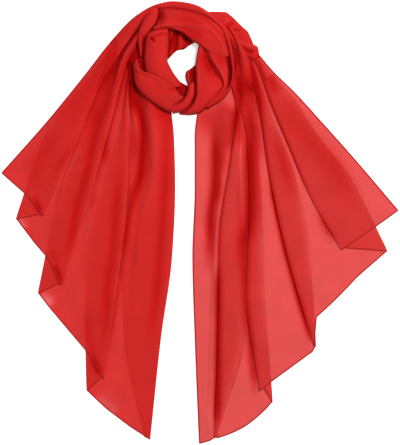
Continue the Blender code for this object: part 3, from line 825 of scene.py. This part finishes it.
# painted shade in its valleys and crescents, painted highlights along its ridges
SIDE_CREASES = (
    Crease(((72.2, 18.5), (77.3, 1.7), (78.1, -18.5), (75.6, -38.6)), 3, -2, 0.7),
    Crease(((55.4, -8.4), (63.8, -20.2), (66.4, -31.9), (60.5, -43.7), (50.4, -53.8)), 1.6, -1, 0.6),
    Crease(((28.6, 31.9), (37, 15.1), (43.7, -1.7), (48.7, -15.1)), 6, 0, 0.45),
    Crease(((35.3, 25.2), (50.4, 8.4), (60.5, -6.7), (67.2, -21.8), (72.2, -38.6)), 2.4, 0.6, -0.25),
    Crease(((80.6, 18.5), (84, -5), (82.3, -28.6), (72.2, -45.4), (52.1, -62.2)), 1.8, 0.4, -0.25),
    Crease(((24.4, 8.4), (25.5, -15.1), (26.5, -38.6)), 2, 0.5, -0.25),
    Crease(((56, 34), (63, 16), (70, -2)), 9, 0, 0.4),
    Crease(((28, 25), (36, 5), (38, -15)), 8, 0, 0.3),
)
strand("right_side", "loop_side", SIDE_LINES, SIDE_CREASES)
LIP_LINES = (
    ((13.4, -6.7, 6), (12.1, -16.8, 7), (13.4, -25.2, 7), (15.6, -33.6, 6)),
    ((8.7, -5.9, 13), (8.2, -16.8, 15), (10.4, -26, 15), (13.1, -34.4, 12)),
    ((5.5, -7.6, 5), (4.4, -16.8, 6), (6.7, -26, 6), (10.4, -35.3, 5)),
)
strand("inner_lip", None, LIP_LINES, (), (5, 13))


# ---- the strand carried over the left end ----
# One gathered fold of the loop that runs on, lower and lower, over the neck of the left end, and
# presses its folds together.

CARRIED_LINES = (
    ((-71.4, 70.6, 10), (-78, 57.1, 9), (-89, 41.2, 8), (-100.8, 22.7, 6), (-110, 1.7, 4),
     (-119.3, -26.9, 2), (-126, -55.4, 1)),
    ((-69.7, 67.2, 18), (-74.3, 53.8, 17.5), (-84.3, 37.8, 16), (-95.8, 20.2, 14), (-104.5, -0.8, 11.5),
     (-112.6, -28.6, 8), (-119.3, -57.1, 2)),
    ((-68, 63.8, 12), (-70.9, 50.4, 10), (-79.3, 33.6, 7), (-90.4, 15.1, 5), (-97.8, -5, 4),
     (-105, -31.9, 2), (-111.7, -58.8, 1)),
)
strand("carried_over", None, CARRIED_LINES, (), (-8, 12))


# ---- the chin flap ----
# The upper ply of the loop at the bottom left, turned up and over the plies that come round there,
# with its free edge along the top.

CHIN_LINES = (
    ((-84.3, 3.4, 6), (-80.3, -28.6, 7), (-62.2, -52.9, 7), (-38.6, -69.2, 7), (-23.5, -75.9, 7),
     (-15.1, -70.6, 8), (-9.2, -65.5, 8)),
    ((-83.7, 4.2, 14), (-79, -27.7, 20), (-60.8, -51.2, 20), (-37.6, -67.5, 20), (-22.8, -73.9, 18),
     (-15.1, -68.5, 16), (-8.7, -63.5, 14)),
    ((-82.7, 5, 17), (-76.3, -25.2, 24), (-57.1, -47, 25), (-35.3, -63.5, 24), (-21.3, -69.4, 21),
     (-14.3, -64.7, 19), (-7.6, -60.5, 18)),
    ((-81.3, 6.7, 20), (-73.1, -18.5, 27), (-52.1, -37.8, 28), (-31.9, -52.9, 27), (-20.2, -58.8, 24),
     (-11.8, -59.3, 23), (-4.2, -57.5, 21)),
    ((-79.6, 8.4, 22), (-72.2, -10.9, 28), (-52.9, -23.5, 29), (-32.8, -36.1, 29), (-19.3, -47, 27),
     (-10.1, -53.4, 25), (-2, -55.1, 24)),
    ((-77.4, 10.1, 23), (-71.7, -6.7, 28), (-54.9, -14.4, 30), (-36.1, -22.7, 30), (-14.3, -38.6, 27),
     (-7.9, -48.7, 26), (0, -53.1, 25)),
    ((-75.9, 11.3, 16), (-70.6, -5.4, 22), (-54.1, -13.1, 26), (-35.3, -21, 25), (-12.1, -36.6, 19),
     (-5.4, -46.7, 17), (1, -50.7, 15)),
)
# painted shade below its free edge and in its creases, painted highlights along its edge and a ridge
CHIN_CREASES = (
    Crease(((-82.3, -5), (-77.3, -11.8), (-68.9, -15.1), (-52.1, -21.8)), 2.5, -1, 0.2),
    Crease(((-82.3, 5), (-78.1, -2.5), (-70.6, -7.6), (-53.8, -15.1), (-37, -23.5)),
           1.5, 0.5, -0.3, 0, 0.05),
    Crease(((-75.6, -7.6), (-68.9, -10.9), (-52.1, -19.3), (-35.3, -26.9)), 1.5, -0.8, 0.3),
    Crease(((-28.6, -38.6), (-18.5, -40.3), (-8.4, -42)), 3, -1.5, 0.35),
    Crease(((-13.4, -38.6), (-8.4, -48.7), (0, -52.9), (6.7, -43.7)), 1.6, 0.4, -0.3),
)
strand("chin_flap", "loop_chin", CHIN_LINES, CHIN_CREASES, (-4, 14))


# ---- the loop up the inner left ----
# The stretch that comes up out of the chin flap beside the opening and goes under the top, creased
# where the top presses on it. The plies above the opening show the inside of the loop.

INNER_LINES = (
    ((-64.2, 52.9, 6), (-65.2, 40.3, 6), (-66.2, 28.6, 6), (-66.7, 11.8, 6), (-65.5, -6.7, 6),
     (-53.8, -21.8, 6)),
    ((-61.7, 55.4, 15), (-62.2, 42, 17), (-63.2, 28.6, 17), (-63.7, 11.8, 17), (-62.2, -7.6, 15),
     (-52.1, -23.5, 12)),
    ((-54.6, 59.1, 22), (-54.6, 45.4, 24), (-55.1, 28.6, 24), (-55.4, 11.8, 24), (-52.9, -8.4, 22),
     (-43.7, -26.9, 17)),
    ((-43.7, 62.2, 25), (-43.7, 47, 27), (-43.7, 28.6, 27), (-43.7, 10.1, 27), (-39.5, -10.1, 25),
     (-28.6, -33.6, 19)),
    ((-33.6, 63.5, 25), (-32.8, 48.7, 26), (-32.8, 30.2, 26), (-31.9, 11.8, 25), (-26, -10.1, 24),
     (-14.3, -35.3, 19)),
    ((-26.5, 63.8, 21), (-25.2, 48.7, 21), (-26, 31.9, 20), (-27.2, 11.8, 19), (-19.2, -8.4, 19),
     (-3.4, -32.8, 15)),
    ((-24.2, 63.8, 9), (-23.2, 48.7, 8), (-24.2, 31.9, 7), (-25.9, 10.9, 6), (-17.5, -7.6, 6),
     (-0.8, -30.2, 5)),
)
# painted highlights on the rolled top and a small ridge, painted shade beside them and in the notch
INNER_CREASES = (
    Crease(((-60.5, 47.9), (-52.1, 53.8), (-38.6, 57.1), (-25.2, 58.8), (-15.1, 60.5)),
           2.4, 2.2, -0.35, 0, 0.1),
    Crease(((-65.5, 51.2), (-55.4, 58.8), (-42, 62.2), (-25.2, 63.8)), 2, -2, 0.8, 0, 0.1),
    Crease(((-58.8, 43.7), (-48.7, 49.6), (-35.3, 52.4), (-23.5, 53.8)), 2.2, -1.2, 0.35, 0, 0.1),
    Crease(((-56.3, 47.4), (-51.2, 44.9), (-46.2, 39.5)), 2.2, -3, 1.0),
    Crease(((-54.6, 40.3), (-49.6, 36.1), (-43.7, 30.2)), 1.8, 1, -0.3),
)
strand("inner_left", "loop_inner", INNER_LINES, INNER_CREASES)
INSIDE_LINES = (
    ((-26.9, 67.2, 10), (-17.6, 67.2, 15), (-11.8, 65.5, 7), (-3.4, 63.8, 17), (8.4, 57.1, 9),
     (25.2, 48.7, 14)),
    ((-25.2, 48.7, 5), (-18, 50.4, 13), (-14.3, 43.7, 4), (-3.4, 43.7, 15), (6.7, 44.5, 8),
     (21.8, 42, 10)),
    ((-26, 15.1, 3), (-20.2, 19.3, 8), (-14.3, 24.4, 4), (-5, 29.4, 10), (6.7, 33.6, 5),
     (18.5, 40.3, 7)),
)
# painted shade in its valleys
INSIDE_CREASES = (
    Crease(((-10.1, 67.2), (-16.8, 45.4), (-25.2, 25.2)), 4, -3, 0.9),
    Crease(((-11.8, 63.8), (0, 50.4), (15.1, 40.3)), 5, -3, 0.9),
)
strand("inside_top", "loop_inside", INSIDE_LINES, INSIDE_CREASES, (3, 14))


# ---- the wedge and the bottom tuck ----
# Two narrow turns of the same cloth: one that comes out between the top and the inner left, and one
# that is tucked between the right side and the chin flap.

WEDGE_LINES = (
    ((-57.1, 97.4, 14), (-65.5, 84.8, 10), (-70.6, 72.2, 8), (-74.3, 58.8, 8), (-76.8, 43.7, 7),
     (-72.9, 15.1, 5)),
    ((-54.9, 96.6, 20), (-62.2, 84, 21), (-68, 71.4, 22), (-72.6, 58.3, 22), (-75.1, 43.7, 19),
     (-72.2, 15.1, 11)),
    ((-49.1, 97.1, 24), (-53.3, 84.8, 27), (-58.8, 72.2, 28), (-65.5, 58.8, 27), (-71.2, 43.7, 24),
     (-70.9, 16, 14)),
    ((-42.7, 96.9, 22), (-43.7, 86.5, 25), (-48.2, 70.9, 27), (-58, 59.6, 27), (-68, 43.7, 21),
     (-69.7, 16, 12)),
    ((-40.3, 96.9, 14), (-41.3, 86.5, 10), (-46, 69.7, 10), (-55.8, 58, 14), (-65.9, 43.7, 8),
     (-68.5, 15.1, 5)),
)
# painted shade in its crease
WEDGE_CREASES = (
    Crease(((-70.6, 57.1), (-67.2, 45.4), (-70.6, 28.6)), 2, -1.5, 0.4),
)
strand("wedge", "loop_wedge", WEDGE_LINES, WEDGE_CREASES)
TUCK_LINES = (
    ((19.8, -26.9, 6), (20.5, -42, 6), (16.5, -58, 6), (4.2, -73.1, 6), (-16.8, -79, 5)),
    ((18, -26.9, 17), (18.5, -42, 20), (14.1, -56.8, 21), (2.2, -70.9, 20), (-17.6, -77.3, 16)),
    ((13.9, -28.6, 19), (13.8, -42, 24), (9.4, -54.3, 25), (-2.4, -66.9, 24), (-19.3, -73.6, 21)),
    ((10.1, -30.2, 16), (8.7, -42, 21), (4, -53.1, 22), (-6.4, -62.5, 21), (-21.5, -69.6, 19)),
    ((7.7, -31.1, 8), (6, -41.2, 10), (1.5, -51.4, 10), (-8.7, -60.5, 10), (-23.7, -67.5, 10)),
)
strand("bottom_tuck", "loop_tuck", TUCK_LINES)


# ---- the turn at the right shoulder ----
# The far side of the loop, which comes out behind it at the upper right, bunched in short creases,
# and opens out into the right end.

SHOULDER_LINES = (
    ((37, 92.4, 3), (55.4, 92.7, 3), (70.6, 92.2, 3), (80.6, 86, 3), (98.1, 68.9, 3), (109.2, 58.5, 3),
     (115.1, 46.2, 3), (118.9, 37.6, 3), (125.2, 33.9, 3), (129, 16, 2)),
    ((37.8, 90.7, 8), (55.4, 91.1, 10), (70.6, 90.2, 9), (79, 84, 8), (95.8, 67.2, 8), (107.2, 57.1, 8),
     (113.1, 45.4, 7), (117.3, 36, 7), (123.5, 31.9, 8), (127, 15.5, 5)),
    ((42, 85.7, 12), (57.1, 82.3, 14), (70.6, 78.1, 14), (77.3, 72.2, 12), (89, 60.5, 12),
     (101.6, 50.4, 11), (107.5, 41.2, 10), (112.6, 32.8, 9), (119.3, 27.7, 9), (123.5, 15, 6)),
    ((47, 80.6, 12), (60.5, 70.6, 13), (68.9, 63, 13), (76.4, 55.4, 12), (84, 47, 12), (94.1, 37, 12),
     (101.6, 31.1, 11), (107.5, 26.9, 9), (115.1, 22.7, 8), (119.8, 13, 6)),
    ((52.1, 73.9, 6), (63.8, 60.5, 6), (72.2, 50.4, 6), (78.1, 42, 6), (84, 33.6, 7), (91.6, 25.2, 7),
     (99.1, 20.2, 7), (105.8, 17.6, 6), (112.6, 15.1, 5), (117, 9, 4)),
)
# painted highlights on its rolls, painted shade in the creases below them
SHOULDER_CREASES = (
    Crease(((65.5, 69.7), (73.9, 75.6), (82.3, 82.3)), 2.2, 1.5, -0.35),
    Crease(((68.9, 63.8), (77.3, 69.7), (87.4, 75.6)), 4, -2, 0.5),
    Crease(((82.3, 62.2), (90.7, 61.7), (99.1, 62.2)), 2, -2, 0.7),
    Crease(((90.7, 44.5), (100.8, 38.6), (110.9, 34.8), (121, 34.4)), 2.4, 1.5, -0.35),
    Crease(((92.4, 37), (102.5, 30.2), (112.6, 25.2), (122.6, 26.9)), 3.2, -2.5, 0.9),
    Crease(((89, 57.1), (97.4, 48.7), (107.5, 42)), 4, -1, 0.3),
)
strand("shoulder", "shoulder_turn", SHOULDER_LINES, SHOULDER_CREASES, (2, 8))


# ---- the roll round the outside ----
# The outer plies of the top, rolled softly together from the neck of the left end round to the right
# side. The last strand runs on beneath it, from the shoulder into the right end.


def roll_lines(outer, inner, rises, section):
    """Lines of a roll of cloth between its two edges, from its foot over its crown."""
    lines = []
    for share, rise in section:
        lines.append([(*Vector(a).lerp(Vector(b), share), high * rise)
                      for a, b, high in zip(outer, inner, rises)])
    return lines


ROLL_OUTER = ((-138, 21), (-119.3, 42), (-104.2, 60.5), (-87.4, 77.3), (-67.9, 93.2), (-43.7, 104.8),
              (-17.8, 110), (5, 108), (25.2, 102.5), (42, 92.4), (53.8, 83), (69.7, 66.2), (79, 45.4),
              (85, 11.8), (86.4, -11.8))
ROLL_INNER = ((-131, -12), (-115.9, 11.8), (-99.1, 35.3), (-79.8, 61.3), (-60.5, 84), (-40.3, 96.4),
              (-18.5, 95.9), (3.4, 93.1), (21.8, 88), (37, 82.3), (48.7, 75.3), (63.5, 61.8),
              (72.2, 40.3), (79.3, 10.1), (82, -11.8))
# height of its crown at each point of the two edges
ROLL_RISE = (0.5, 4, 10, 17, 22, 24, 24, 24, 24, 24, 24, 24, 24, 22, 18)
# for each line along it: how far in it is, and its height, as shares
ROLL_SECTION = ((0.0, 0.1), (0.04, 0.55), (0.15, 0.85), (0.4, 1.0), (0.72, 0.95), (0.92, 0.8),
                (1.08, 0.55))
# a painted highlight along a ridge of the roll
ROLL_CREASES = (
    Crease(((21.8, 98.3), (33.6, 91.6), (45.4, 84), (55.4, 74.8), (67.2, 60.5)), 2, 1.5, -0.3),
)
outer_roll = roll_lines(ROLL_OUTER, ROLL_INNER, ROLL_RISE, ROLL_SECTION)
strand("outer_roll", None, outer_roll, ROLL_CREASES, (-10, 8))
CARRIED_UNDER_LINES = (
    ((72.2, 68.9, 5), (80.6, 52.1, 5), (87.4, 31.9, 5), (91.5, 11.8, 4), (93, -10, 3), (92, -32, 0.5)),
    ((77.3, 65.5, 17), (87.4, 48.7, 17), (95.8, 28.6, 15), (101.5, 8.4, 12), (105, -15.1, 7),
     (104, -45, 0.5)),
    ((84, 58.8, 15), (94.1, 42, 14), (104.2, 23.5, 12), (110.9, 5, 9), (115, -18.5, 5),
     (116, -50, 0.5)),
    ((85.5, 57.5, 3), (96, 41, 3), (106, 22.5, 3), (112.6, 4.5, 2), (117, -18.5, 2), (119, -48, 0.5)),
)
strand("carried_under", None, CARRIED_UNDER_LINES, (), (2, 10))


# ---- the table it lies on, the light and the camera ----
# A plain white table, lit a little from within as a light table is, one large soft light high on the
# right, and a long lens that looks straight down.

TABLE_SIZE = 12           # metres
TABLE_TOP = -0.0002       # just below the cloth

bpy.ops.mesh.primitive_plane_add(size=TABLE_SIZE, location=(0, 0, TABLE_TOP))
table = bpy.context.object
table.name = "table"
paper = bpy.data.materials.new("white table")
paper.use_nodes = True
white = paper.node_tree.nodes["Principled BSDF"].inputs
white["Base Color"].default_value = (0.85, 0.85, 0.85, 1)
white["Roughness"].default_value = 0.9
white["Specular IOR Level"].default_value = 0.1
white["Emission Color"].default_value = (1, 1, 1, 1)
white["Emission Strength"].default_value = 0.5
table.data.materials.append(paper)

room = bpy.data.worlds.new("room")
room.use_nodes = True
room.node_tree.nodes["Background"].inputs["Color"].default_value = (1, 1, 1, 1)
room.node_tree.nodes["Background"].inputs["Strength"].default_value = 0.30
bpy.context.scene.world = room

LIGHT_PLACE = Vector((1.35, 1.1, 3.75))     # metres
LIGHT_AIM = Vector((0, 0.1, 0))             # the middle of the scarf
softbox = bpy.data.lights.new("high on the right", "AREA")
softbox.size = 1.3
softbox.energy = 188
light = bpy.data.objects.new("high on the right", softbox)
light.location = LIGHT_PLACE
light.rotation_euler = (LIGHT_AIM - LIGHT_PLACE).to_track_quat("-Z", "Y").to_euler()
bpy.context.scene.collection.objects.link(light)

VIEW_MIDDLE = (0.0006, 0.0003)
VIEW_HEIGHT = 0.7476      # metres of table from the top to the bottom of the view
LENS, SENSOR = 200.0, 36.0
eye = bpy.data.cameras.new("eye")
eye.lens = LENS
eye.sensor_width = SENSOR
eye.clip_end = 50
camera = bpy.data.objects.new("eye", eye)
camera.location = (*VIEW_MIDDLE, VIEW_HEIGHT * LENS / SENSOR)
bpy.context.scene.collection.objects.link(camera)
bpy.context.scene.camera = camera
bpy.context.scene.view_settings.view_transform = "Standard"
